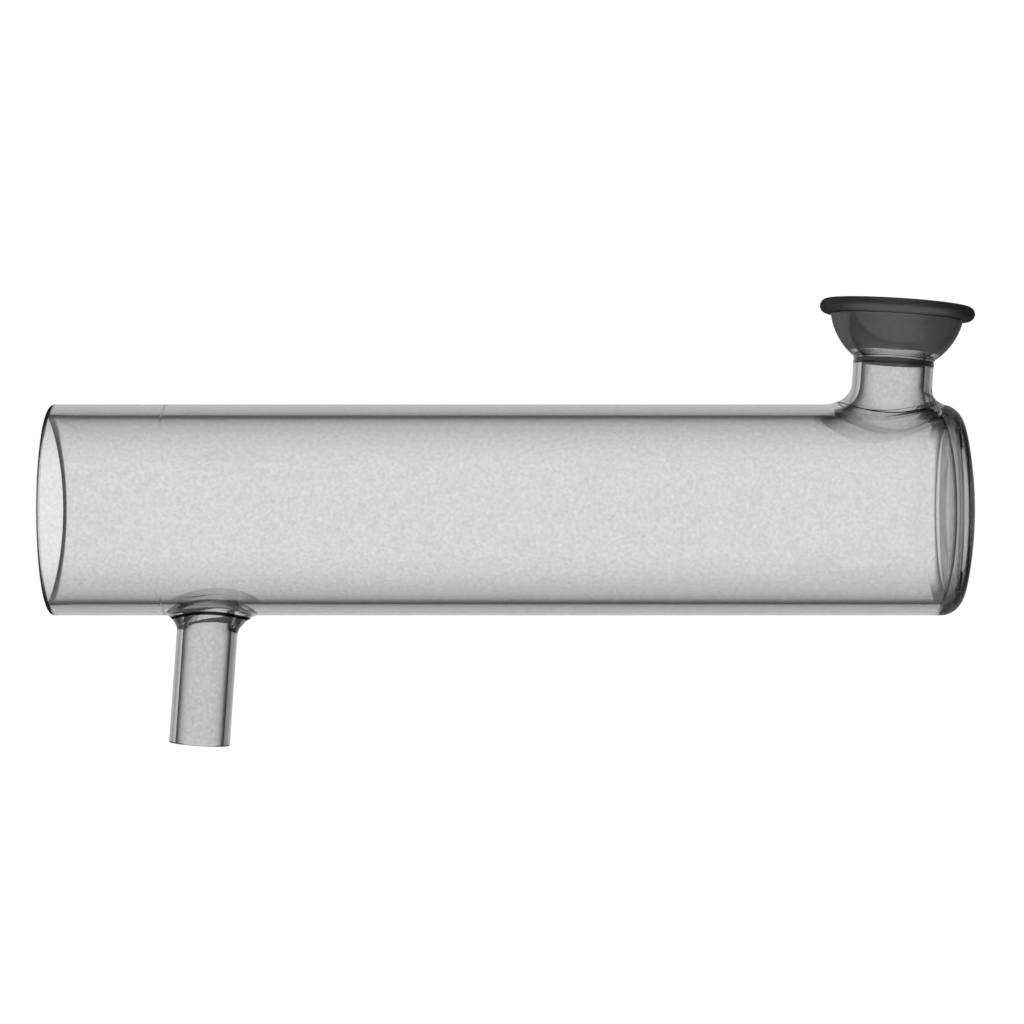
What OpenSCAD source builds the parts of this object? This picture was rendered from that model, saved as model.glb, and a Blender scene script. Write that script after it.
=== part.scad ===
// Extraction chamber of lamp-worked borosilicate glass.
// It stands on its open mouth, with the barrel's axis along +Z and the origin at the centre of the mouth.
// The socket neck leaves towards -X near the closed end, and the side arm towards +X near the mouth.

/* [Barrel] */
// Outer diameter of the barrel
barrel_d = 50; // [44:0.5:54]
// Wall of the barrel
barrel_wall = 2.6; // [2:0.1:3.2]
// Whole length, from the mouth to the crown of the closed end
barrel_len = 218; // [200:1:260]
// Height of the fused seam above the mouth
seam_z = 26.8; // [20:0.2:27]
// Width of the fused seam
seam_w = 0.8; // [0.6:0.1:1.2]
// How far the seam's bead stands proud of the wall
seam_proud = 0.12; // [0.05:0.01:0.2]

/* [Closed end] */
// Outer radius of the shoulder
shoulder_r = 5; // [4:0.5:6]
// Inner radius of the shoulder
inner_shoulder_r = 2.6; // [2:0.2:3.4]
// Radius of the crown's dome
crown_r = 91; // [80:1:140]
// Thickness of the crown
crown_wall = 3.3; // [2.8:0.1:3.8]
// Radius of the thick spot where the end was drawn closed
button_r = 14; // [8:1:15]
// Height of the thick spot at its middle
button_h = 1.5; // [0.8:0.1:2]

/* [Neck] */
// Height at which the neck's axis crosses the barrel's axis
neck_z = 197.2; // [190:0.2:198]
// Outer diameter of the neck
neck_d = 19; // [17:0.2:19.4]
// Bore of the neck
neck_bore_d = 15; // [13:0.2:15.4]
// Distance from the barrel's axis to the joint between the neck and the socket's stem
neck_end = 34.4; // [34.2:0.1:34.6]
// Fillet between the neck and the barrel
neck_fillet = 4.5; // [3:0.5:5]
// Lean of the neck towards the closed end, in degrees
neck_lean = 4; // [0:1:5]

/* [Socket] */
// Diameter of the ground spherical seat
seat_d = 28.6; // [28.4:0.1:28.8]
// Outer diameter of the bowl
bowl_d = 31.8; // [31.4:0.1:32.4]
// Distance from the barrel's axis to the centre of the seat
seat_x = 48.7; // [48.6:0.1:49.2]
// Outer diameter of the clamping rim
rim_d = 36.6; // [35.6:0.1:37]
// Height of the clamping rim
rim_h = 3.5; // [3:0.1:4]

/* [Side arm] */
// Height at which the side arm's axis crosses the barrel's axis
arm_z = 39; // [38:0.5:60]
// Outer diameter of the side arm
arm_d = 14.4; // [12:0.2:16]
// Wall of the side arm
arm_wall = 1.5; // [1.2:0.1:1.8]
// Distance from the barrel's axis to the tip of the side arm
arm_reach = 55.6; // [45:0.2:70]
// Fillet between the side arm and the barrel
arm_fillet = 4; // [3:0.5:5]
// Lean of the side arm towards the mouth, in degrees
arm_lean = 4; // [0:1:5]

/* [Hidden] */
$fn = 96;

barrel_r = barrel_d / 2;
inner_r = barrel_r - barrel_wall;
seam_lo = seam_z - seam_w / 2;
seam_hi = seam_z + seam_w / 2;

// The crowns are two concentric spheres, and each shoulder is an arc tangent to its wall and its crown
crown_centre_z = barrel_len - crown_r;
inner_crown_r = crown_r - crown_wall;
shoulder_z = shoulder_centre(barrel_r, shoulder_r, crown_r);
inner_shoulder_z = shoulder_centre(inner_r, inner_shoulder_r, inner_crown_r);
end_z = inner_shoulder_z;
button_edge = 0.35;
arc_steps = 12;

neck_r = neck_d / 2;
neck_bore_r = neck_bore_d / 2;
socket_weld_w = 0.8;
weld_proud = 0.15;
rim_above = 0.5;
stem_start = neck_end + socket_weld_w;

seat_r = seat_d / 2;
bowl_r = bowl_d / 2;
rim_r = rim_d / 2;
rim_round = rim_h / 2;
rim_top = seat_x + rim_above;
rim_low = rim_top - rim_h;

arm_r = arm_d / 2;
arm_bore_r = arm_r - arm_wall;

// The fillets turn through this angle and then run straight down onto the barrel
fillet_turn = 30;
fillet_foot = 18;
cut_start = 12;

function shoulder_centre(wall_r, turn_r, dome_r) =
    crown_centre_z + sqrt(pow(dome_r - turn_r, 2) - pow(wall_r - turn_r, 2));

function arc(x, y, r, from, to) =
    [for (i = [0:arc_steps]) let (a = from + (to - from) * i / arc_steps) [x + r * cos(a), y + r * sin(a)]];

// Height of a crown above the mouth at a distance from the axis
function crown_at(dome_r, r) = crown_centre_z + sqrt(dome_r * dome_r - r * r);

// Points of a crown from one radius to another
function crown(dome_r, from, to) =
    [for (i = [0:arc_steps]) let (r = from + (to - from) * i / arc_steps) [r, crown_at(dome_r, r)]];

// Angle, from the radius, at which a shoulder meets its crown
function shoulder_turn(wall_r, turn_r, centre_z) = atan2(centre_z - crown_centre_z, wall_r - turn_r);

// Distance below a sphere's centre at which it has a given radius
function drop(sphere_r, r) = sqrt(sphere_r * sphere_r - r * r);

module clear_glass() {
    color([0.86, 0.9, 0.91, 0.35]) children();
}

module ground_glass() {
    color([0.62, 0.64, 0.65, 0.75]) children();
}

module ring(outer, inner, low, high) {
    translate([0, 0, low]) difference() {
        cylinder(h = high - low, r = outer);
        translate([0, 0, -1]) cylinder(h = high - low + 2, r = inner);
    }
}

// A short ring of melted glass, a little proud of its tubes inside and out
module fused_ring(outer, inner, low, high, proud) {
    rotate_extrude() polygon([
        [inner, low],
        [outer, low],
        [outer + proud, (2 * low + high) / 3],
        [outer + proud, (low + 2 * high) / 3],
        [outer, high],
        [inner, high],
        [inner - proud, (low + 2 * high) / 3],
        [inner - proud, (2 * low + high) / 3]
    ]);
}

module along_neck() {
    translate([0, 0, neck_z]) rotate([0, neck_lean - 90, 0]) children();
}

module along_arm() {
    translate([0, 0, arm_z]) rotate([0, 90 + arm_lean, 0]) children();
}

// A branch's flared foot: it sits on the barrel, and its spigot fills the hole in the wall
module branch_foot(tube_r, bore_r, fillet) {
    top = barrel_r + fillet;
    turned_r = tube_r + fillet * (1 - cos(fillet_turn));
    turned_z = top - fillet * sin(fillet_turn);
    foot_r = turned_r + (turned_z - fillet_foot) * tan(fillet_turn);
    difference() {
        rotate_extrude() polygon(concat(
            [[bore_r, fillet_foot], [foot_r, fillet_foot]],
            arc(tube_r + fillet, top, fillet, 180 + fillet_turn, 180),
            [[bore_r, top]]
        ));
        children();
    }
}

module branch_spigot(tube_r, bore_r) {
    translate([0, 0, cut_start]) difference() {
        cylinder(h = barrel_r + 1 - cut_start, r = tube_r);
        translate([0, 0, -1]) cylinder(h = barrel_r + 3 - cut_start, r = bore_r);
    }
}

module barrel_bulk(r) {
    cylinder(h = barrel_len, r = r);
}

// Open end of the chamber, cut square
module mouth_tube() {
    clear_glass() ring(barrel_r, inner_r, 0, seam_lo);
}

// Seam that joins the mouth's tube to the barrel
module seam_weld() {
    clear_glass() fused_ring(barrel_r, inner_r, seam_lo, seam_hi, seam_proud);
}

// Main barrel, holed for both branches
module barrel_tube() {
    clear_glass() difference() {
        ring(barrel_r, inner_r, seam_hi, end_z);
        along_neck() translate([0, 0, cut_start]) cylinder(h = barrel_r, r = neck_r);
        along_arm() translate([0, 0, cut_start]) cylinder(h = barrel_r, r = arm_r);
    }
}

// Blown end with round shoulders and a slightly domed crown
module closed_end() {
    turn = shoulder_turn(barrel_r, shoulder_r, shoulder_z);
    inner_turn = shoulder_turn(inner_r, inner_shoulder_r, inner_shoulder_z);
    join_r = barrel_r - shoulder_r + shoulder_r * cos(turn);
    inner_join_r = inner_r - inner_shoulder_r + inner_shoulder_r * cos(inner_turn);
    clear_glass() rotate_extrude() polygon(concat(
        [[inner_r, end_z], [barrel_r, end_z]],
        arc(barrel_r - shoulder_r, shoulder_z, shoulder_r, 0, turn),
        crown(crown_r, join_r * 0.9, 0),
        crown(inner_crown_r, 0, button_r),
        crown(inner_crown_r, button_r + 1, inner_join_r * 0.98),
        arc(inner_r - inner_shoulder_r, inner_shoulder_z, inner_shoulder_r, inner_turn, 6)
    ));
}

// Thick spot inside the crown, where the end was drawn closed
module closing_button() {
    rise = button_h - button_edge;
    clear_glass() rotate_extrude() polygon(concat(
        crown(inner_crown_r, 0, button_r),
        [for (i = [0:arc_steps]) let (r = button_r * (1 - i / arc_steps))
            [r, crown_at(inner_crown_r, r) - button_edge - rise * (1 - pow(r / button_r, 2))]]
    ));
}

// Flared weld between the barrel and the neck
module neck_weld() {
    clear_glass() union() {
        difference() {
            along_neck() branch_foot(neck_r, neck_bore_r, neck_fillet);
            barrel_bulk(barrel_r);
        }
        intersection() {
            along_neck() branch_spigot(neck_r, neck_bore_r);
            ring(barrel_r, inner_r, seam_hi, end_z);
        }
    }
}

// Short neck that carries the socket
module neck_tube() {
    clear_glass() along_neck() ring(neck_r, neck_bore_r, barrel_r + neck_fillet, neck_end);
}

// Seam between the neck and the socket's stem
module socket_weld() {
    clear_glass() along_neck() fused_ring(neck_r, neck_bore_r, neck_end, stem_start, weld_proud);
}

// Bowl of the spherical joint, ground inside
module socket_bowl() {
    outer_low = asin(-drop(bowl_r, neck_r) / bowl_r);
    outer_high = asin((rim_low - seat_x) / bowl_r);
    inner_low = asin(-drop(seat_r, neck_bore_r) / seat_r);
    inner_high = asin((rim_low - seat_x) / seat_r);
    ground_glass() along_neck() rotate_extrude() polygon(concat(
        [[neck_bore_r, stem_start], [neck_r, stem_start]],
        arc(0, seat_x, bowl_r, outer_low, outer_high),
        arc(0, seat_x, seat_r, inner_high, inner_low)
    ));
}

// Round rim that the joint's clamp grips
module socket_rim() {
    inner_low = asin((rim_low - seat_x) / seat_r);
    inner_high = asin((rim_top - seat_x) / seat_r);
    ground_glass() along_neck() rotate_extrude() polygon(concat(
        arc(rim_r - rim_round, rim_low + rim_round, rim_round, -90, 90),
        arc(0, seat_x, seat_r, inner_high, inner_low)
    ));
}

// Flared weld between the barrel and the side arm
module arm_weld() {
    clear_glass() union() {
        difference() {
            along_arm() branch_foot(arm_r, arm_bore_r, arm_fillet);
            barrel_bulk(barrel_r);
        }
        intersection() {
            along_arm() branch_spigot(arm_r, arm_bore_r);
            ring(barrel_r, inner_r, seam_hi, end_z);
        }
    }
}

// Plain side arm, cut square at its tip
module arm_tube() {
    clear_glass() along_arm() ring(arm_r, arm_bore_r, barrel_r + arm_fillet, arm_reach);
}

mouth_tube();
seam_weld();
barrel_tube();
closed_end();
closing_button();
neck_weld();
neck_tube();
socket_weld();
socket_bowl();
socket_rim();
arm_weld();
arm_tube();
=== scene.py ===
"""An extraction chamber of lamp-worked borosilicate glass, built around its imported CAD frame.

The chamber stands on its open mouth, with the barrel's axis along +Z. Each stock piece of glass is a
closed solid of its own. The faces where two pieces are fused let light straight through, so together
they look like the one continuous body that the flame made of them.

Meshes are built in millimetres and scaled to metres when they are finished.
"""

import logging
import math
from dataclasses import dataclass, field
from enum import Enum
from typing import Any, Callable, Optional, Sequence

import bmesh
import bpy
from mathutils import Matrix, Vector


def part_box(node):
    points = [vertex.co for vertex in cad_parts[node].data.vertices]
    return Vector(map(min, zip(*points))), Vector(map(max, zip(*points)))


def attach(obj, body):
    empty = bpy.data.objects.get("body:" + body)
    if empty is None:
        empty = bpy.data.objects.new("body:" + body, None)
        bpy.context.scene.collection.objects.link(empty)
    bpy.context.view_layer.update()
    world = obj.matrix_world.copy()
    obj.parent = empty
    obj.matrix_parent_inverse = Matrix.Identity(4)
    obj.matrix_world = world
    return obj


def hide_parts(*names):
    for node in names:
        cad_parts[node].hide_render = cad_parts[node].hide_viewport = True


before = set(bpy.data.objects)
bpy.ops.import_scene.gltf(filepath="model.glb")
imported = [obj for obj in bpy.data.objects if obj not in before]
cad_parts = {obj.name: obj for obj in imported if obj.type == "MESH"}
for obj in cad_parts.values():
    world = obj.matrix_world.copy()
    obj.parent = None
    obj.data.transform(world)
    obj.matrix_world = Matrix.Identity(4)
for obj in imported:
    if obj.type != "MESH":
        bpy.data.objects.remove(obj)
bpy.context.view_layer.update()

LOG = logging.getLogger("chamber")
MM = 0.001

TURN_STEPS = 240
ARC_STEPS = 16
SHOULDER_STEPS = 20
WELD_STEPS = 24
MERGE_MM = 1e-3
SHARP_ANGLE = math.radians(30)

Point = tuple[float, float]
Colour = tuple[float, float, float, float]


class Skin(Enum):
    """How a stretch of glass surface was made."""

    OUTSIDE = "outside"
    BORE = "bore"
    BRANCH = "branch"
    END = "end"
    DOME = "dome"
    BEND = "bend"
    BOWL = "bowl"
    WELD = "weld"
    FUSED = "fused"
    CUT = "cut"
    GROUND = "ground"


class RecordSlot(Enum):
    """The record's material slots."""

    CLEAR = "borosilicate_glass"
    GROUND = "ground_glass"


def linear(hex_colour: str) -> Colour:
    """Turn an sRGB hex colour to linear light.

    Args:
        hex_colour: Six hex digits.

    Returns:
        Red, green and blue in linear light, and an alpha of 1.
    """
    channels = [int(hex_colour[i : i + 2], 16) / 255 for i in (0, 2, 4)]
    light = [c / 12.92 if c <= 0.04045 else ((c + 0.055) / 1.055) ** 2.4 for c in channels]
    return (light[0], light[1], light[2], 1.0)


def add_node(
    tree: bpy.types.NodeTree,
    kind: str,
    settings: Optional[dict[str, Any]] = None,
    values: Optional[dict[str, Any]] = None,
    links: Optional[dict[str, bpy.types.NodeSocket]] = None,
) -> bpy.types.Node:
    """Add a node with its settings, socket values and incoming links.

    Args:
        tree: The node tree to add it to.
        kind: The node's type name.
        settings: Attributes of the node.
        values: Default values, by input name.
        links: Output sockets that feed it, by input name.

    Returns:
        The new node.
    """
    node = tree.nodes.new(kind)
    for key, value in (settings or {}).items():
        setattr(node, key, value)
    for key, value in (values or {}).items():
        node.inputs[key].default_value = value
    for key, socket in (links or {}).items():
        tree.links.new(socket, node.inputs[key])
    return node


def new_material(name: str) -> tuple[bpy.types.Material, bpy.types.NodeTree]:
    """Make an empty node material.

    Args:
        name: The material's name.

    Returns:
        The material and its node tree.
    """
    material = bpy.data.materials.new(name)
    material.use_nodes = True
    material.node_tree.nodes.clear()
    return material, material.node_tree


def set_stops(ramp: bpy.types.ColorRamp, stops: Sequence[tuple[float, str]]) -> None:
    """Give a colour ramp its stops.

    Args:
        ramp: The ramp to fill.
        stops: Positions from 0 to 1, in order, each with a hex colour.
    """
    ramp.interpolation = "LINEAR"
    while len(ramp.elements) < len(stops):
        ramp.elements.new(1.0)
    for element, (position, colour) in zip(ramp.elements, stops):
        element.position = position
        element.color = linear(colour)


@dataclass(frozen=True)
class ClearGlass:
    """Borosilicate 3.3 glass, drawn and fire polished.

    It is colourless and very smooth. Light that grazes a wall has a longer way through it, and a painted
    shade
    stands for that: the tint deepens with the angle to the surface. Close to the angle at which a wall starts
    to mirror, light is led away along the tube, and a painted shade draws a dark line at the edge of each
    wall.
    """

    name: str
    # Painted shade by how far the surface turns away, and by how much of the light it mirrors
    turned: tuple[tuple[float, str], ...]
    mirrored: tuple[tuple[float, str], ...]
    ior: float = 1.474
    roughness: float = 0.0
    # Faint cords in drawn tubing are about a millimetre apart
    grain_mm: float = 0.9
    grain_depth: float = 0.06

    def build(self) -> bpy.types.Material:
        """Build the material.

        Returns:
            The material.
        """
        material, tree = new_material(self.name)
        # Painted shade: one ramp darkens the glass by how far it turns away, another draws dark edge lines by
        # how much it mirrors
        facing = add_node(tree, "ShaderNodeLayerWeight", values={"Blend": 0.5})
        mirror = add_node(tree, "ShaderNodeFresnel", values={"IOR": self.ior})
        painted_turn_shade = add_node(tree, "ShaderNodeValToRGB", links={"Fac": facing.outputs["Facing"]})
        set_stops(painted_turn_shade.color_ramp, self.turned)
        edge = add_node(tree, "ShaderNodeValToRGB", links={"Fac": mirror.outputs["Fac"]})
        set_stops(edge.color_ramp, self.mirrored)
        both = add_node(tree, "ShaderNodeVectorMath", settings={"operation": "MULTIPLY"})
        tree.links.new(painted_turn_shade.outputs["Color"], both.inputs[0])
        tree.links.new(edge.outputs["Color"], both.inputs[1])
        place = add_node(tree, "ShaderNodeTexCoord")
        grain = add_node(
            tree,
            "ShaderNodeTexNoise",
            values={"Scale": 1 / (self.grain_mm * MM), "Detail": 2.0, "Roughness": 0.6},
            links={"Vector": place.outputs["Object"]},
        )
        dull = add_node(
            tree,
            "ShaderNodeMapRange",
            values={"From Min": 0.35, "From Max": 0.65, "To Min": 1 - self.grain_depth, "To Max": 1.0},
            links={"Value": grain.outputs["Fac"]},
        )
        tint = add_node(
            tree,
            "ShaderNodeVectorMath",
            settings={"operation": "SCALE"},
            links={"Vector": both.outputs["Vector"], "Scale": dull.outputs["Result"]},
        )
        glass = add_node(
            tree,
            "ShaderNodeBsdfGlass",
            values={"Roughness": self.roughness, "IOR": self.ior},
            links={"Color": tint.outputs["Vector"]},
        )
        add_node(tree, "ShaderNodeOutputMaterial", links={"Surface": glass.outputs["BSDF"]})
        return material


@dataclass(frozen=True)
class GroundGlass:
    """Borosilicate glass ground with fine grit, so it scatters light; its dull grey is painted shade.

    A painted shade darkens it further where the surface turns away, which makes its edges darker.
    """

    name: str
    turned: tuple[tuple[float, str], ...]
    ior: float = 1.474
    roughness: float = 0.38
    # 240 grit leaves pits of about 0.06 mm, drawn at 0.25 mm so that they show
    pit_mm: float = 0.25
    pit_depth_mm: float = 0.02

    def build(self) -> bpy.types.Material:
        """Build the material.

        Returns:
            The material.
        """
        material, tree = new_material(self.name)
        place = add_node(tree, "ShaderNodeTexCoord")
        pits = add_node(
            tree,
            "ShaderNodeTexNoise",
            values={"Scale": 1 / (self.pit_mm * MM), "Detail": 2.0},
            links={"Vector": place.outputs["Object"]},
        )
        bump = add_node(
            tree,
            "ShaderNodeBump",
            values={"Strength": 0.5, "Distance": self.pit_depth_mm * MM},
            links={"Height": pits.outputs["Fac"]},
        )
        # Painted shade: a grey tint that darkens where the surface turns away
        facing = add_node(tree, "ShaderNodeLayerWeight", values={"Blend": 0.5})
        shade = add_node(tree, "ShaderNodeValToRGB", links={"Fac": facing.outputs["Facing"]})
        set_stops(shade.color_ramp, self.turned)
        glass = add_node(
            tree,
            "ShaderNodeBsdfGlass",
            values={"Roughness": self.roughness, "IOR": self.ior},
            links={"Color": shade.outputs["Color"], "Normal": bump.outputs["Normal"]},
        )
        add_node(tree, "ShaderNodeOutputMaterial", links={"Surface": glass.outputs["BSDF"]})
        return material


@dataclass(frozen=True)
class FusedFace:
    """The face where two pieces melted into one, which light doesn't notice."""

    name: str

    def build(self) -> bpy.types.Material:
        """Build the material.

        Returns:
            The material.
        """
        material, tree = new_material(self.name)
        through = add_node(tree, "ShaderNodeBsdfTransparent")
        add_node(tree, "ShaderNodeOutputMaterial", links={"Surface": through.outputs["BSDF"]})
        return material


# Ramps of painted shade. One goes by how far the surface turns away, an edge line by how much it mirrors,
# where
# 0.04 is straight through the wall and 1.0 is total reflection inside it.
OUTSIDE_PAINTED_SHADE = (
    (0.0, "F6F6F6"),
    (0.1, "F6F6F6"),
    (0.2, "EEEEEE"),
    (0.3, "E5E5E5"),
    (0.4, "DBDBDB"),
    (0.47, "D2D2D2"),
    (0.53, "B8B8B8"),
    (0.57, "ACACAC"),
    (0.62, "C4C4C4"),
    (0.7, "D2D2D2"),
    (0.85, "DCDCDC"),
    (1.0, "D4D4D4"),
)
CLEAR = ((0.0, "FFFFFF"), (1.0, "FFFFFF"))
BORE_PAINTED_EDGE_SHADE = (
    (0.0, "F6F6F6"),
    (0.037, "F6F6F6"),
    (0.05, "F2F2F2"),
    (0.1, "EEEEEE"),
    (0.18, "DEDEDE"),
    (0.29, "A6A6A6"),
    (0.45, "8A8A8A"),
    (0.7, "7A7A7A"),
    (0.97, "7A7A7A"),
    (1.0, "ECECEC"),
)
BRANCH_PAINTED_EDGE_SHADE = (
    (0.0, "EAEAEA"),
    (0.04, "EAEAEA"),
    (0.07, "D4D4D4"),
    (0.12, "A6A6A6"),
    (0.25, "7C7C7C"),
    (0.97, "707070"),
    (1.0, "ECECEC"),
)
END_PAINTED_SHADE = ((0.0, "F6F6F6"), (0.3, "F2F2F2"), (1.0, "E8E8E8"))
END_PAINTED_EDGE_SHADE = (
    (0.0, "FFFFFF"),
    (0.05, "FFFFFF"),
    (0.07, "B4B4B4"),
    (0.12, "909090"),
    (0.97, "808080"),
    (1.0, "FFFFFF"),
)
DOME_EDGE = ((0.0, "F8F8F8"), (1.0, "F8F8F8"))
BEND_PAINTED_EDGE_SHADE = (
    (0.0, "F6F6F6"),
    (0.045, "F4F4F4"),
    (0.06, "C4C4C4"),
    (0.1, "787878"),
    (0.97, "5C5C5C"),
    (1.0, "F8F8F8"),
)
CUT_PAINTED_SHADE = ((0.0, "F4F4F4"), (0.3, "E8E8E8"), (0.6, "C8C8C8"), (1.0, "A0A0A0"))
CUT_PAINTED_EDGE_SHADE = (
    (0.0, "FFFFFF"),
    (0.042, "FFFFFF"),
    (0.055, "808080"),
    (0.1, "484848"),
    (0.97, "484848"),
    (1.0, "909090"),
)
BOWL_PAINTED_SHADE = ((0.0, "F0F0F0"), (0.4, "E4E4E4"), (0.6, "B0B0B0"), (0.8, "787878"), (1.0, "606060"))
WELD_PAINTED_SHADE = ((0.0, "383838"), (1.0, "202020"))
GROUND_PAINTED_SHADE = ((0.0, "989898"), (0.5, "8A8A8A"), (0.8, "606060"), (1.0, "404040"))
FINISHES = {
    # Drawn tubing is even and glossy, with a painted grey shade where the eye looks along its wall
    Skin.OUTSIDE: ClearGlass("borosilicate drawn outside", OUTSIDE_PAINTED_SHADE, CLEAR),
    # The bore's edges show as two painted dark lines inside the barrel's outline
    Skin.BORE: ClearGlass("borosilicate drawn bore", CLEAR, BORE_PAINTED_EDGE_SHADE),
    # A narrow bore bends the light more sharply, so its painted shade is greyer and its painted lines firmer
    Skin.BRANCH: ClearGlass("borosilicate drawn branch bore", CLEAR, BRANCH_PAINTED_EDGE_SHADE),
    # Blown glass is brighter than drawn, with a firm painted dark outline and a faint painted grey where it
    # turns away
    Skin.END: ClearGlass("borosilicate blown end", END_PAINTED_SHADE, END_PAINTED_EDGE_SHADE),
    # The inside of the crown is nearly invisible
    Skin.DOME: ClearGlass("borosilicate blown dome", CLEAR, DOME_EDGE),
    # A painted dark line on the tight inner bend draws a second line beside the outline
    Skin.BEND: ClearGlass("borosilicate blown shoulder", CLEAR, BEND_PAINTED_EDGE_SHADE),
    # A cut edge that the flame melted round gathers the dark of the room into a line, here painted shade
    Skin.CUT: ClearGlass("borosilicate fire polished edge", CUT_PAINTED_SHADE, CUT_PAINTED_EDGE_SHADE),
    # The bowl's outside is clear where it faces the eye, and the frosting shows through it; its edges are
    # painted shade
    Skin.BOWL: ClearGlass("borosilicate pressed bowl", BOWL_PAINTED_SHADE, CLEAR),
    # Two pieces sealed end to end leave a rippled band, painted almost black as shade
    Skin.WELD: ClearGlass("borosilicate sealed seam", WELD_PAINTED_SHADE, CLEAR),
    # Ground glass is dull, with a painted dark grey shade
    Skin.GROUND: GroundGlass("borosilicate ground seat", GROUND_PAINTED_SHADE),
    # A fused face can't be seen
    Skin.FUSED: FusedFace("borosilicate fused joint"),
}


class Wardrobe:
    """Builds each finish once, when a piece first asks for it."""

    def __init__(self) -> None:
        """Start with nothing built."""
        self.made: dict[Skin, bpy.types.Material] = {}

    def get(self, skin: Skin) -> bpy.types.Material:
        """Find the material of a skin.

        Args:
            skin: How the surface was made.

        Returns:
            Its material.
        """
        if skin not in self.made:
            self.made[skin] = FINISHES[skin].build()
        return self.made[skin]


WARDROBE = Wardrobe()


def arc(centre: Point, radius: float, start: float, stop: float, steps: int = ARC_STEPS) -> list[Point]:
    """Sample an arc of a profile.

    Args:
        centre: The arc's centre, as radius and height.
        radius: The arc's radius.
        start: First angle from the radial direction, in radians.
        stop: Last angle.
        steps: Number of steps between them.

    Returns:
        The arc's points.
    """
    angles = [start + (stop - start) * k / steps for k in range(steps + 1)]
    return [(centre[0] + radius * math.cos(a), centre[1] + radius * math.sin(a)) for a in angles]


def straight(start: Point, stop: Point, steps: int = 1) -> list[Point]:
    """Sample a straight stretch of a profile.

    Args:
        start: First point.
        stop: Last point.
        steps: Number of steps between them.

    Returns:
        The points.
    """
    shares = [k / steps for k in range(steps + 1)]
    return [(start[0] + (stop[0] - start[0]) * s, start[1] + (stop[1] - start[1]) * s) for s in shares]


def bezier(corners: Sequence[Point], share: float) -> Point:
    """Find a point on a cubic curve.

    Args:
        corners: Its four control points.
        share: How far along it the point is, from 0 to 1.

    Returns:
        The point.
    """
    rest = 1 - share
    weights = (rest**3, 3 * rest**2 * share, 3 * rest * share**2, share**3)
    return (
        sum(w * c[0] for w, c in zip(weights, corners)),
        sum(w * c[1] for w, c in zip(weights, corners)),
    )


class Shell:
    """A closed shell of glass, turned run by run from its profile."""

    def __init__(self, name: str) -> None:
        """Start an empty shell.

        Args:
            name: The piece's name, which is also the CAD node's.
        """
        self.name = name
        self.work = bmesh.new()
        self.skins: list[Skin] = []

    def skin_index(self, skin: Skin) -> int:
        """Find the material index of a skin, adding it if it is new.

        Args:
            skin: How the surface was made.

        Returns:
            Its index among the piece's materials.
        """
        if skin not in self.skins:
            self.skins.append(skin)
        return self.skins.index(skin)

    def turn(self, skin: Skin, points: Sequence[Point], steps: int = TURN_STEPS) -> None:
        """Turn a run of profile points about the Z axis.

        Args:
            skin: How that stretch of surface was made.
            points: Its points, as radius and height.
            steps: Number of steps in the turn.
        """
        run = bmesh.new()
        verts = [run.verts.new((r, 0.0, z)) for r, z in points]
        edges = [run.edges.new(pair) for pair in zip(verts, verts[1:])]
        bmesh.ops.spin(
            run,
            geom=verts + edges,
            cent=(0, 0, 0),
            axis=(0, 0, 1),
            angle=math.tau,
            steps=steps,
            use_merge=True,
        )
        index = self.skin_index(skin)
        for face in run.faces:
            face.material_index = index
        strip = bpy.data.meshes.new("run")
        run.to_mesh(strip)
        run.free()
        self.work.from_mesh(strip)
        bpy.data.meshes.remove(strip)

    def reshape(self, move: Callable[[Vector], Vector]) -> None:
        """Move every vertex.

        Args:
            move: Gives a vertex's new place from its old one.
        """
        bmesh.ops.remove_doubles(self.work, verts=self.work.verts, dist=MERGE_MM)
        for vert in self.work.verts:
            vert.co = move(vert.co)

    def finish(self, place: Optional[Matrix] = None) -> bpy.types.Object:
        """Close the shell, put it in its place and make it an object.

        Args:
            place: Where it goes, in millimetres. The default leaves it where it was turned.

        Returns:
            The object, at the origin with its place in its mesh.
        """
        work = self.work
        bmesh.ops.remove_doubles(work, verts=work.verts, dist=MERGE_MM)
        bmesh.ops.dissolve_degenerate(work, edges=work.edges, dist=MERGE_MM)
        matrix = Matrix.Scale(MM, 4) @ (place or Matrix.Identity(4))
        bmesh.ops.transform(work, matrix=matrix, verts=work.verts)
        bmesh.ops.recalc_face_normals(work, faces=work.faces)
        for face in work.faces:
            face.smooth = True
        for edge in work.edges:
            edge.smooth = len(edge.link_faces) == 2 and edge.calc_face_angle() < SHARP_ANGLE
        mesh = bpy.data.meshes.new(self.name)
        work.to_mesh(mesh)
        work.free()
        for skin in self.skins:
            mesh.materials.append(WARDROBE.get(skin))
        piece = bpy.data.objects.new(f"{self.name}_glass", mesh)
        bpy.context.scene.collection.objects.link(piece)
        return piece


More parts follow.
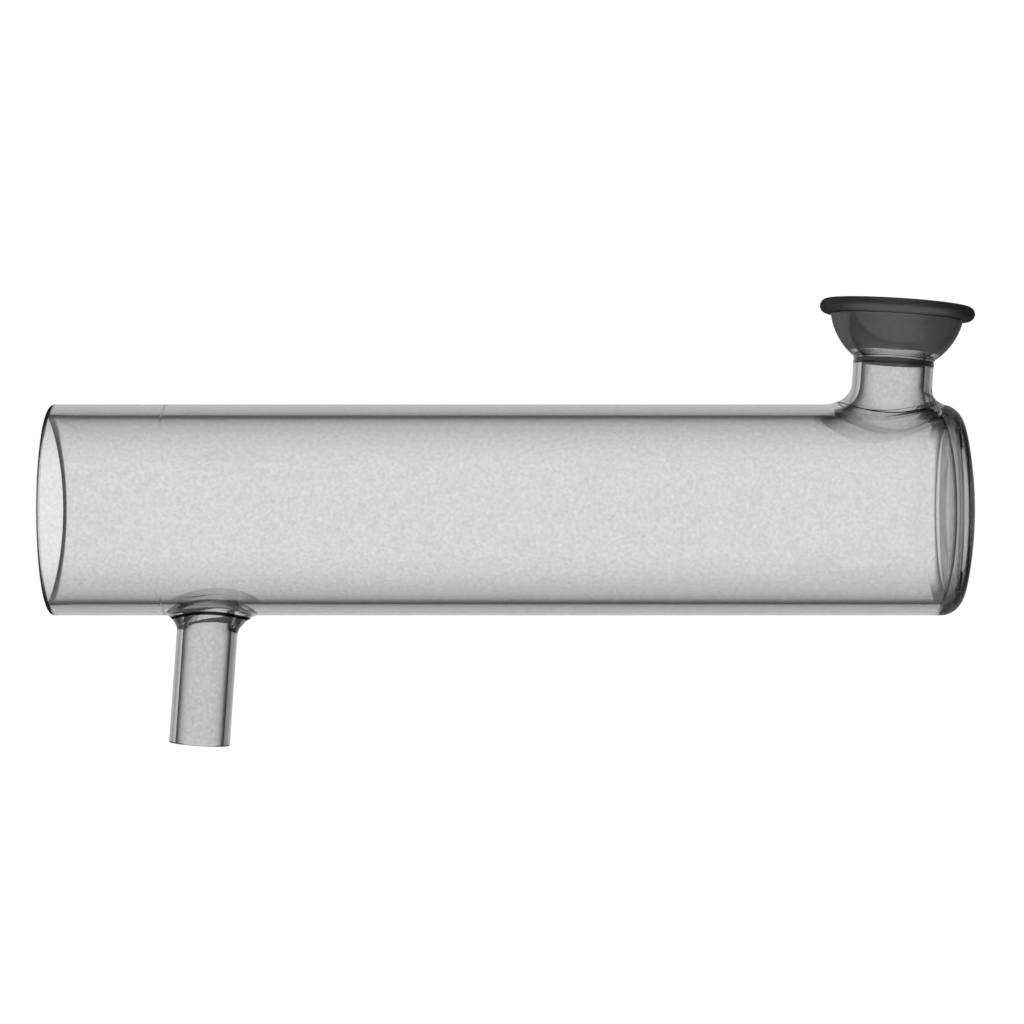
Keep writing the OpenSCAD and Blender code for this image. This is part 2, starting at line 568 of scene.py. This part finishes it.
@dataclass(frozen=True)
class Wall:
    """A surface of the barrel: a cylinder that turns in over a shoulder onto a spherical crown."""

    radius: float
    turn_radius: float
    crown_radius: float
    crown_centre: float

    @property
    def shoulder_z(self) -> float:
        """Height of the shoulder arc's centre."""
        reach = self.crown_radius - self.turn_radius
        return self.crown_centre + math.sqrt(reach**2 - (self.radius - self.turn_radius) ** 2)

    @property
    def join_angle(self) -> float:
        """Angle at which the shoulder meets the crown."""
        return math.atan2(self.shoulder_z - self.crown_centre, self.radius - self.turn_radius)

    @property
    def join_radius(self) -> float:
        """Distance from the axis at which the shoulder meets the crown."""
        return self.radius - self.turn_radius + self.turn_radius * math.cos(self.join_angle)

    def radius_at(self, z: float) -> float:
        """Return the distance from the axis at a height below the crown."""
        above = min(max(z - self.shoulder_z, 0.0), self.turn_radius)
        return self.radius - self.turn_radius + math.sqrt(self.turn_radius**2 - above**2)

    def normal_at(self, spot: Vector) -> Vector:
        """Find the direction in which the surface faces away from the axis.

        Args:
            spot: A point on the surface.

        Returns:
            The direction, of length 1.
        """
        r = math.hypot(spot.x, spot.y)
        if spot.z <= self.shoulder_z:
            return Vector((spot.x, spot.y, 0.0)).normalized()
        if r <= self.join_radius:
            return Vector((spot.x, spot.y, spot.z - self.crown_centre)).normalized()
        share = 1 - (self.radius - self.turn_radius) / r
        return Vector((spot.x * share, spot.y * share, spot.z - self.shoulder_z)).normalized()

    def shoulder(self) -> list[Point]:
        """Return the shoulder's points, from the barrel to the crown."""
        hub = (self.radius - self.turn_radius, self.shoulder_z)
        return arc(hub, self.turn_radius, 0.0, self.join_angle, SHOULDER_STEPS)

    def crown(self, start: float, stop: float, steps: int = ARC_STEPS) -> list[Point]:
        """Return the crown's points between two distances from the axis."""
        radii = [start + (stop - start) * k / steps for k in range(steps + 1)]
        return [(r, self.crown_centre + math.sqrt(self.crown_radius**2 - r**2)) for r in radii]


@dataclass(frozen=True)
class Branch:
    """A tube that leaves the barrel sideways, with its own axes: U towards the closed end, W along it."""

    # The side of the barrel, -1 or 1 along X, and the height at which its axis crosses the barrel's
    side: float
    root_z: float
    # How far it leans, in radians: the neck towards the closed end and the arm towards the mouth
    lean: float
    tube_r: float
    bore_r: float

    @property
    def place(self) -> Matrix:
        """Matrix from the branch's axes to the chamber's.

        Returns:
            The matrix, in millimetres.
        """
        sine, cosine = math.sin(self.lean), math.cos(self.lean)
        along = Vector((self.side * cosine, 0.0, -self.side * sine))
        upward = Vector((sine, 0.0, cosine))
        across = along.cross(upward)
        turned = Matrix((upward, across, along)).transposed()
        return Matrix.Translation((0.0, 0.0, self.root_z)) @ turned.to_4x4()

    def height(self, wall: Wall, u: float, v: float) -> float:
        """Find how far along the branch a surface of the barrel lies.

        Args:
            wall: The surface.
            u: Distance from the branch's axis towards the closed end.
            v: Distance from it across the barrel.

        Returns:
            The distance from the barrel's axis, along the branch.
        """
        sine, cosine = math.sin(self.lean), math.cos(self.lean)
        w = wall.radius
        for _ in range(5):
            z = self.root_z + u * cosine - self.side * w * sine
            flat = math.sqrt(max(wall.radius_at(z) ** 2 - v**2, 0.0))
            w = (flat - self.side * u * sine) / cosine
        return w


@dataclass(frozen=True)
class Footprint:
    """The round patch of barrel that the flame softened around a branch, off centre along the barrel."""

    radius: float
    offset: float

    def reach(self, angle: float) -> float:
        """Return the distance from the branch's axis to the patch's edge, in a direction."""
        across = self.offset * math.sin(angle)
        return self.offset * math.cos(angle) + math.sqrt(self.radius**2 - across**2)

    def cutter(self, branch: Branch, low: float, high: float) -> bpy.types.Object:
        """Make the cylinder that cuts the patch out of the barrel.

        Args:
            branch: The branch that it surrounds.
            low: Where it starts along the branch.
            high: Where it ends.

        Returns:
            The cutter.
        """
        shell = Shell("cutter")
        shell.turn(Skin.FUSED, [(0.0, low), (self.radius, low), (self.radius, high), (0.0, high)])
        return shell.finish(branch.place @ Matrix.Translation((self.offset, 0.0, 0.0)))


def cut_away(piece: bpy.types.Object, cutter: bpy.types.Object) -> None:
    """Cut a solid out of a piece, leaving fused faces, and delete the cutter.

    Args:
        piece: The piece to cut.
        cutter: The solid to take away.
    """
    fused = WARDROBE.get(Skin.FUSED)
    if fused.name not in [m.name for m in piece.data.materials]:
        piece.data.materials.append(fused)
    tool = piece.modifiers.new("hole", "BOOLEAN")
    tool.operation = "DIFFERENCE"
    tool.solver = "EXACT"
    tool.material_mode = "TRANSFER"
    tool.object = cutter
    bpy.context.view_layer.update()
    graph = bpy.context.evaluated_depsgraph_get()
    old = piece.data
    piece.data = bpy.data.meshes.new_from_object(piece.evaluated_get(graph))
    piece.data.name = piece.name
    piece.modifiers.clear()
    bpy.data.meshes.remove(old)
    bpy.data.objects.remove(cutter)


def true_normals(piece: bpy.types.Object, outer: Wall, inner: Wall) -> None:
    """Give a cut piece of the barrel its exact normals, so that its cut edges don't bend the light.

    Args:
        piece: The piece.
        outer: The barrel's outer surface.
        inner: Its inner surface.
    """
    mesh = piece.data
    walls = {Skin.OUTSIDE: (outer, 1.0), Skin.END: (outer, 1.0)}
    walls |= {skin: (inner, -1.0) for skin in (Skin.BORE, Skin.BEND, Skin.DOME)}
    by_name = {WARDROBE.get(skin).name: wall for skin, wall in walls.items()}
    names = [m.name for m in mesh.materials]
    normals = [Vector((0.0, 0.0, 1.0))] * len(mesh.loops)
    for face in mesh.polygons:
        wall, sign = by_name.get(names[face.material_index], (None, 1.0))
        for loop in face.loop_indices:
            spot = mesh.vertices[mesh.loops[loop].vertex_index].co / MM
            normals[loop] = wall.normal_at(spot) * sign if wall else face.normal.copy()
    mesh.normals_split_custom_set(normals)


def settle(piece: bpy.types.Object) -> None:
    """Put a piece on the frame in place of the CAD node of the same name.

    Args:
        piece: The finished piece.
    """
    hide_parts(piece.name.removesuffix("_glass"))
    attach(piece, "root")
    LOG.info("%s: %d faces", piece.name, len(piece.data.polygons))


@dataclass(frozen=True)
class Barrel:
    """The barrel: its mouth, the fused seam, the long tube and the blown end."""

    # Walls
    wall: float = 2.6
    crown_wall: float = 3.3
    crown_radius: float = 91.0
    shoulder: float = 5.0
    inner_shoulder: float = 2.6
    # Heights and sizes that the frame settles
    radius: float = field(default_factory=lambda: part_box("barrel_tube")[1].y / MM)
    length: float = field(default_factory=lambda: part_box("closed_end")[1].z / MM)
    seam_low: float = field(default_factory=lambda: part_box("seam_weld")[0].z / MM)
    seam_high: float = field(default_factory=lambda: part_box("seam_weld")[1].z / MM)
    end_z: float = field(default_factory=lambda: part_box("closed_end")[0].z / MM)
    button_r: float = field(default_factory=lambda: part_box("closing_button")[1].x / MM)
    # How far the flame rounded the mouth's arrises
    outer_lip: float = 1.1
    inner_lip: float = 0.3
    # How far the fused seam stands proud
    seam_proud: float = 0.03
    # The thick spot's step at its edge, and how much thicker it is at its middle
    button_edge: float = 0.35
    button_rise: float = 1.15
    # Height of one row of the tube's faces
    row: float = 8.0

    @property
    def outer(self) -> Wall:
        """The outer surface."""
        return Wall(self.radius, self.shoulder, self.crown_radius, self.length - self.crown_radius)

    @property
    def inner(self) -> Wall:
        """The inner surface."""
        crown = self.crown_radius - self.crown_wall
        return Wall(self.radius - self.wall, self.inner_shoulder, crown, self.length - self.crown_radius)

    def mouth(self) -> bpy.types.Object:
        """Build the tube at the open mouth, cut square and fire polished.

        Returns:
            The piece.
        """
        outer, inner = self.outer.radius, self.inner.radius
        out, bore = self.outer_lip, self.inner_lip
        shell = Shell("mouth_tube")
        shell.turn(Skin.OUTSIDE, straight((outer, self.seam_low), (outer, out), 4))
        shell.turn(Skin.CUT, arc((outer - out, out), out, 0.0, -math.pi / 2, 12))
        shell.turn(Skin.CUT, straight((outer - out, 0.0), (inner + bore, 0.0), 2))
        shell.turn(Skin.BORE, arc((inner + bore, bore), bore, -math.pi / 2, -math.pi, 6))
        shell.turn(Skin.BORE, straight((inner, bore), (inner, self.seam_low), 4))
        shell.turn(Skin.FUSED, [(inner, self.seam_low), (outer, self.seam_low)])
        return shell.finish()

    def seam(self) -> bpy.types.Object:
        """Build the fused seam, a ring a little proud inside and out.

        Returns:
            The piece.
        """
        outer, inner = self.outer.radius, self.inner.radius
        return bead("seam_weld", outer, inner, self.seam_low, self.seam_high, self.seam_proud)

    def tube(self) -> bpy.types.Object:
        """Build the long tube, before its holes are cut.

        Returns:
            The piece.
        """
        outer, inner = self.outer.radius, self.inner.radius
        rows = round((self.end_z - self.seam_high) / self.row)
        shell = Shell("barrel_tube")
        shell.turn(Skin.OUTSIDE, straight((outer, self.end_z), (outer, self.seam_high), rows))
        shell.turn(Skin.FUSED, [(outer, self.seam_high), (inner, self.seam_high)])
        shell.turn(Skin.BORE, straight((inner, self.seam_high), (inner, self.end_z), rows))
        shell.turn(Skin.FUSED, [(inner, self.end_z), (outer, self.end_z)])
        return shell.finish()

    def end(self) -> bpy.types.Object:
        """Build the blown end, with its round shoulders and domed crown.

        Returns:
            The piece.
        """
        outer, inner = self.outer, self.inner
        shell = Shell("closed_end")
        shell.turn(Skin.END, [(outer.radius, self.end_z), *outer.shoulder()])
        shell.turn(Skin.END, outer.crown(outer.join_radius, 0.0))
        shell.turn(Skin.FUSED, inner.crown(0.0, self.button_r))
        shell.turn(Skin.DOME, inner.crown(self.button_r, inner.join_radius, 8))
        shell.turn(Skin.BEND, inner.shoulder()[::-1])
        shell.turn(Skin.FUSED, [(inner.radius, self.end_z), (outer.radius, self.end_z)])
        return shell.finish()

    def button(self) -> bpy.types.Object:
        """Build the thick spot inside the crown, where the end was drawn closed.

        Returns:
            The piece.
        """
        inner = self.inner
        shell = Shell("closing_button")
        top = inner.crown(0.0, self.button_r)
        drops = [self.button_edge + self.button_rise * (1 - (r / self.button_r) ** 2) for r, _ in top]
        under = [(r, z - drop) for (r, z), drop in zip(top, drops)]
        shell.turn(Skin.FUSED, top)
        shell.turn(Skin.DOME, [top[-1], under[-1]])
        shell.turn(Skin.DOME, under[::-1])
        return shell.finish()


def bead(
    name: str, outer: float, inner: float, low: float, high: float, proud: float
) -> bpy.types.Object:
    """Turn a ring of melted glass that stands proud of its tubes inside and out.

    Args:
        name: The piece's name.
        outer: Outer radius of the tubes.
        inner: Inner radius of the tubes.
        low: Where the ring starts.
        high: Where it ends.
        proud: How far it stands proud.

    Returns:
        The piece.
    """
    half = (high - low) / 2
    swell = (half**2 + proud**2) / (2 * proud)
    spread = math.asin(half / swell)
    middle = (low + high) / 2
    shell = Shell(name)
    shell.turn(Skin.OUTSIDE, arc((outer + proud - swell, middle), swell, spread, -spread, 8))
    shell.turn(Skin.FUSED, [(outer, low), (inner, low)])
    shell.turn(Skin.BORE, arc((inner - proud + swell, middle), swell, math.pi + spread, math.pi - spread, 8))
    shell.turn(Skin.FUSED, [(inner, high), (outer, high)])
    return shell.finish()


@dataclass(frozen=True)
class Weld:
    """A flared weld between the barrel and a branch, drawn smooth all round by the flame."""

    name: str
    branch: Branch
    footprint: Footprint
    top: float
    bend: float
    inner_bend: float
    # The stretch of the outside where the two pieces were sealed, from the foot (0) to the top (1)
    seal: tuple[float, float]

    def profile(self, wall: Wall, tube_r: float, bend: float, angle: float) -> list[Point]:
        """Find the control points of the weld's curve in one direction from the branch's axis.

        Args:
            wall: The surface of the barrel that it runs onto.
            tube_r: The radius of the branch's surface that it leaves.
            bend: How far the curve is drawn to its corner, from 0 to 1.
            angle: The direction.

        Returns:
            Four points, as distance from the axis and distance along it, from the foot to the top.
        """
        reach = self.footprint.reach(angle)
        step = 0.05
        foot, before = [
            self.branch.height(wall, r * math.cos(angle), r * math.sin(angle)) for r in (reach, reach - step)
        ]
        corner = foot - (foot - before) / step * (reach - tube_r)
        near_foot = (reach + (tube_r - reach) * bend, foot + (corner - foot) * bend)
        near_top = (tube_r, self.top + (corner - self.top) * bend)
        return [(reach, foot), near_foot, near_top, (tube_r, self.top)]

    def build(self, outer: Wall, inner: Wall) -> bpy.types.Object:
        """Build the weld as a square ring that is drawn onto its curves.

        Args:
            outer: The barrel's outer surface.
            inner: Its inner surface.

        Returns:
            The piece.
        """
        shell = Shell(self.name)
        seal_low, seal_high = self.seal
        # The ring is 1 to 2 across its wall and 0 to 1 from its foot to its top
        shell.turn(Skin.OUTSIDE, straight((2.0, 1.0), (2.0, seal_high), WELD_STEPS // 2))
        shell.turn(Skin.WELD, straight((2.0, seal_high), (2.0, seal_low), 4))
        shell.turn(Skin.OUTSIDE, straight((2.0, seal_low), (2.0, 0.0), WELD_STEPS // 3))
        shell.turn(Skin.FUSED, straight((2.0, 0.0), (1.0, 0.0)))
        shell.turn(Skin.BRANCH, straight((1.0, 0.0), (1.0, 1.0), WELD_STEPS))
        shell.turn(Skin.FUSED, straight((1.0, 1.0), (2.0, 1.0)))
        curves: dict[int, tuple[list[Point], list[Point]]] = {}

        def draw(spot: Vector) -> Vector:
            """Move a point of the square ring onto the weld.

            Args:
                spot: The point, 1 to 2 from the axis and 0 to 1 along it.

            Returns:
                Its place, in the branch's axes.
            """
            angle = math.atan2(spot.y, spot.x)
            key = round(angle / math.tau * TURN_STEPS)
            if key not in curves:
                curves[key] = (
                    self.profile(outer, self.branch.tube_r, self.bend, angle),
                    self.profile(inner, self.branch.bore_r, self.inner_bend, angle),
                )
            skin, bore = [bezier(curve, spot.z) for curve in curves[key]]
            share = math.hypot(spot.x, spot.y) - 1
            r = bore[0] + (skin[0] - bore[0]) * share
            w = bore[1] + (skin[1] - bore[1]) * share
            return Vector((r * math.cos(angle), r * math.sin(angle), w))

        shell.reshape(draw)
        return shell.finish(self.branch.place)


@dataclass(frozen=True)
class Neck:
    """The short neck and the spherical socket on it."""

    branch: Branch
    # Where the tube starts and ends along the branch, and the seam above it
    start: float
    end: float = 34.4
    seam: float = 0.8
    seam_proud: float = 0.15
    # The seat is a sphere of a standard 28/15 joint, and the bowl a larger one about the same centre
    seat_r: float = 14.3
    bowl_r: float = 15.9
    seat_x: float = 48.7
    rim_r: float = 18.3
    rim_h: float = 3.5
    rim_above: float = 0.5
    # The grinding stops short of the bore, and the rest of the seat stays clear
    ground_depth: float = 10.5
    # Radii of the waist outside and of the throat's edge inside
    waist: float = 1.2
    mouth_round: float = 1.0

    @property
    def rim_top(self) -> float:
        """Distance from the barrel's axis to the socket's top face."""
        return self.seat_x + self.rim_above

    @property
    def rim_low(self) -> float:
        """Distance from the barrel's axis to the rim's lower face."""
        return self.rim_top - self.rim_h

    def tube(self) -> bpy.types.Object:
        """Build the neck's tube."""
        return plain_tube("neck_tube", self.branch, self.start, self.end)

    def weld(self) -> bpy.types.Object:
        """Build the seam between the neck and the socket's stem.

        Returns:
            The piece.
        """
        shell = Shell("socket_weld")
        outer, inner = self.branch.tube_r, self.branch.bore_r
        high = self.end + self.seam
        middle = (self.end + high) / 2
        swollen = (inner - self.seam_proud, middle)
        shell.turn(Skin.OUTSIDE, [(outer, high), (outer + self.seam_proud, middle), (outer, self.end)])
        shell.turn(Skin.FUSED, [(outer, self.end), (inner, self.end)])
        shell.turn(Skin.WELD, [(inner, self.end), swollen, (inner, high)])
        shell.turn(Skin.FUSED, [(inner, high), (outer, high)])
        return shell.finish(self.branch.place)

    def bowl(self) -> bpy.types.Object:
        """Build the socket's bowl, ground inside down to a clear throat.

        Returns:
            The piece.
        """
        outer, inner = self.branch.tube_r, self.branch.bore_r
        low = self.end + self.seam
        seat = (0.0, self.seat_x)
        rim_angle = -math.asin((self.seat_x - self.rim_low) / self.bowl_r)
        seat_rim = -math.asin((self.seat_x - self.rim_low) / self.seat_r)
        seat_stop = -math.asin(self.ground_depth / self.seat_r)
        # The waist is an arc that touches the stem and the bowl from outside
        waist_r = outer + self.waist
        waist_angle = -math.acos(waist_r / (self.bowl_r + self.waist))
        waist_z = self.seat_x + (self.bowl_r + self.waist) * math.sin(waist_angle)
        # The throat's edge is an arc inside the glass that touches the bore and the seat
        edge_r = inner + self.mouth_round
        edge_angle = -math.acos(edge_r / (self.seat_r + self.mouth_round))
        edge_z = self.seat_x + (self.seat_r + self.mouth_round) * math.sin(edge_angle)
        shell = Shell("socket_bowl")
        shell.turn(Skin.BOWL, arc(seat, self.bowl_r, rim_angle, waist_angle, 24))
        shell.turn(Skin.OUTSIDE, arc((waist_r, waist_z), self.waist, math.pi + waist_angle, math.pi, 12))
        shell.turn(Skin.OUTSIDE, [(outer, waist_z), (outer, low)])
        shell.turn(Skin.FUSED, [(outer, low), (inner, low)])
        shell.turn(Skin.WELD, [(inner, low), (inner, edge_z)])
        shell.turn(Skin.BRANCH, arc((edge_r, edge_z), self.mouth_round, math.pi, math.pi + edge_angle, 12))
        shell.turn(Skin.BRANCH, arc(seat, self.seat_r, edge_angle, seat_stop, 4))
        shell.turn(Skin.GROUND, arc(seat, self.seat_r, seat_stop, seat_rim, 24))
        top = arc(seat, self.seat_r, seat_rim, seat_rim, 1)[0]
        shell.turn(Skin.FUSED, [top, arc(seat, self.bowl_r, rim_angle, rim_angle, 1)[0]])
        return shell.finish(self.branch.place)

    def rim(self) -> bpy.types.Object:
        """Build the round rim that the joint's clamp grips.

        Returns:
            The piece.
        """
        half = self.rim_h / 2
        seat = (0.0, self.seat_x)
        low_angle = -math.asin((self.seat_x - self.rim_low) / self.seat_r)
        high_angle = math.asin(self.rim_above / self.seat_r)
        joined = arc(seat, self.bowl_r, -math.asin((self.seat_x - self.rim_low) / self.bowl_r), 0.0)[0]
        seat_low = arc(seat, self.seat_r, low_angle, 0.0)[0]
        seat_top = arc(seat, self.seat_r, high_angle, 0.0)[0]
        round_r = self.rim_r - half
        shell = Shell("socket_rim")
        shell.turn(Skin.FUSED, [seat_low, joined])
        shell.turn(Skin.GROUND, [joined, (round_r, self.rim_low)])
        shell.turn(Skin.GROUND, arc((round_r, self.rim_low + half), half, -math.pi / 2, math.pi / 2, 24))
        shell.turn(Skin.GROUND, [(round_r, self.rim_top), seat_top])
        shell.turn(Skin.GROUND, arc(seat, self.seat_r, high_angle, low_angle, 6))
        return shell.finish(self.branch.place)


def plain_tube(
    name: str, branch: Branch, low: float, high: float, tip: Skin = Skin.FUSED, lip: float = 0.0
) -> bpy.types.Object:
    """Build a straight length of a branch.

    Args:
        name: The piece's name.
        branch: The branch that it belongs to.
        low: Where it starts, from the barrel's axis.
        high: Where it ends.
        tip: How its far end was made.
        lip: How much of that end's arrises melted round.

    Returns:
        The piece.
    """
    outer, inner = branch.tube_r, branch.bore_r
    shell = Shell(name)
    shell.turn(Skin.OUTSIDE, straight((outer, high - lip), (outer, low), 4))
    shell.turn(Skin.FUSED, [(outer, low), (inner, low)])
    shell.turn(Skin.BRANCH, straight((inner, low), (inner, high - lip), 4))
    if lip:
        shell.turn(tip, arc((inner + lip, high - lip), lip, math.pi, math.pi / 2, 6))
        shell.turn(tip, arc((outer - lip, high - lip), lip, math.pi / 2, 0.0, 6))
    shell.turn(tip, [(inner + lip, high), (outer - lip, high)])
    return shell.finish(branch.place)


def white_room() -> None:
    """Light the scene evenly from the horizon, with a greyer ceiling and a pale floor."""
    scene = bpy.context.scene
    world = bpy.data.worlds.new("soft studio")
    scene.world = world
    world.use_nodes = True
    tree = world.node_tree
    tree.nodes.clear()
    place = add_node(tree, "ShaderNodeTexCoord")
    split = add_node(tree, "ShaderNodeSeparateXYZ", links={"Vector": place.outputs["Generated"]})
    glow = add_node(tree, "ShaderNodeValToRGB", links={"Fac": split.outputs["Z"]})
    # White up to 21 degrees above the horizon, then greyer towards the ceiling
    set_stops(glow.color_ramp, ((0.0, "FFFFFF"), (0.36, "FFFFFF"), (0.68, "A8A8A8"), (1.0, "A8A8A8")))
    sky = add_node(
        tree,
        "ShaderNodeBackground",
        values={"Strength": 1.04},
        links={"Color": glow.outputs["Color"]},
    )
    add_node(tree, "ShaderNodeOutputWorld", links={"Surface": sky.outputs["Background"]})

    work = bmesh.new()
    bmesh.ops.create_grid(work, x_segments=1, y_segments=1, size=60.0)
    mesh = bpy.data.meshes.new("floor")
    work.to_mesh(mesh)
    work.free()
    floor = bpy.data.objects.new("floor", mesh)
    scene.collection.objects.link(floor)
    # The floor glows just enough to be as bright as the room at the horizon, so no line shows there
    material, tree = new_material("lit white acrylic")
    shine = add_node(
        tree,
        "ShaderNodeBsdfPrincipled",
        values={
            "Base Color": linear("808080"),
            "Roughness": 1.0,
            "Specular IOR Level": 0.0,
            "Emission Color": linear("FFFFFF"),
            "Emission Strength": 0.918,
        },
    )
    add_node(tree, "ShaderNodeOutputMaterial", links={"Surface": shine.outputs["BSDF"]})
    mesh.materials.append(material)


@dataclass(frozen=True)
class Viewpoint:
    """The camera: level, square to the barrel, and turned so that the barrel lies across the frame."""

    distance: float = 754.0
    height: float = 109.2
    shift_x: float = 0.5
    frame_width: float = 242.7
    sensor: float = 36.0

    def build(self) -> None:
        """Make the camera and give it to the scene."""
        camera = bpy.data.cameras.new("camera")
        camera.sensor_width = self.sensor
        camera.lens = self.sensor * self.distance / self.frame_width
        camera.clip_start = 0.01
        camera.clip_end = 50.0
        holder = bpy.data.objects.new("camera", camera)
        right, up, back = Vector((0, 0, 1)), Vector((-1, 0, 0)), Vector((0, -1, 0))
        holder.rotation_mode = "QUATERNION"
        holder.rotation_quaternion = Matrix((right, up, back)).transposed().to_quaternion()
        holder.location = Vector((self.shift_x, -self.distance, self.height)) * MM
        bpy.context.scene.collection.objects.link(holder)
        bpy.context.scene.camera = holder


def set_light_paths() -> None:
    """Let light pass through every wall and fused face of the glass."""
    scene = bpy.context.scene
    scene.view_settings.view_transform = "Standard"
    scene.cycles.max_bounces = 32
    scene.cycles.transmission_bounces = 32
    scene.cycles.glossy_bounces = 16
    scene.cycles.transparent_max_bounces = 64


def main() -> None:
    """Build every piece of the chamber, then the room and the camera."""
    logging.basicConfig(level=logging.INFO, format="%(name)s %(message)s")
    lean = math.radians(4)
    barrel = Barrel()
    neck_branch = Branch(side=-1.0, root_z=197.2, lean=lean, tube_r=9.5, bore_r=7.5)
    arm_branch = Branch(side=1.0, root_z=39.0, lean=lean, tube_r=7.2, bore_r=5.7)
    neck_foot = Footprint(radius=14.75, offset=-1.75)
    arm_foot = Footprint(radius=10.9, offset=1.0)
    # Where the welds end and the tubes begin, and the arm's tip, from the barrel's axis
    neck_top, arm_top, arm_reach = 29.5, 29.0, 55.6
    # The cutters reach from inside the bore to outside the barrel
    cut_from, cut_to = 12.0, 30.0

    tube = barrel.tube()
    end = barrel.end()
    cut_away(tube, neck_foot.cutter(neck_branch, cut_from, cut_to))
    cut_away(tube, arm_foot.cutter(arm_branch, cut_from, cut_to))
    cut_away(end, neck_foot.cutter(neck_branch, cut_from, cut_to))
    for cut_piece in (tube, end):
        true_normals(cut_piece, barrel.outer, barrel.inner)
    for piece in (barrel.mouth(), barrel.seam(), tube, end, barrel.button()):
        settle(piece)

    neck = Neck(neck_branch, neck_top)
    neck_weld = Weld(
        "neck_weld", neck_branch, neck_foot, neck_top, bend=0.62, inner_bend=0.6, seal=(0.3, 0.33)
    )
    settle(neck_weld.build(barrel.outer, barrel.inner))
    settle(neck.tube())
    settle(neck.weld())
    settle(neck.bowl())
    settle(neck.rim())

    arm_weld = Weld("arm_weld", arm_branch, arm_foot, arm_top, bend=0.36, inner_bend=0.8, seal=(0.28, 0.4))
    settle(arm_weld.build(barrel.outer, barrel.inner))
    settle(plain_tube("arm_tube", arm_branch, arm_top, arm_reach, Skin.CUT, 0.3))

    white_room()
    Viewpoint().build()
    set_light_paths()


if __name__ == "__main__":
    main()
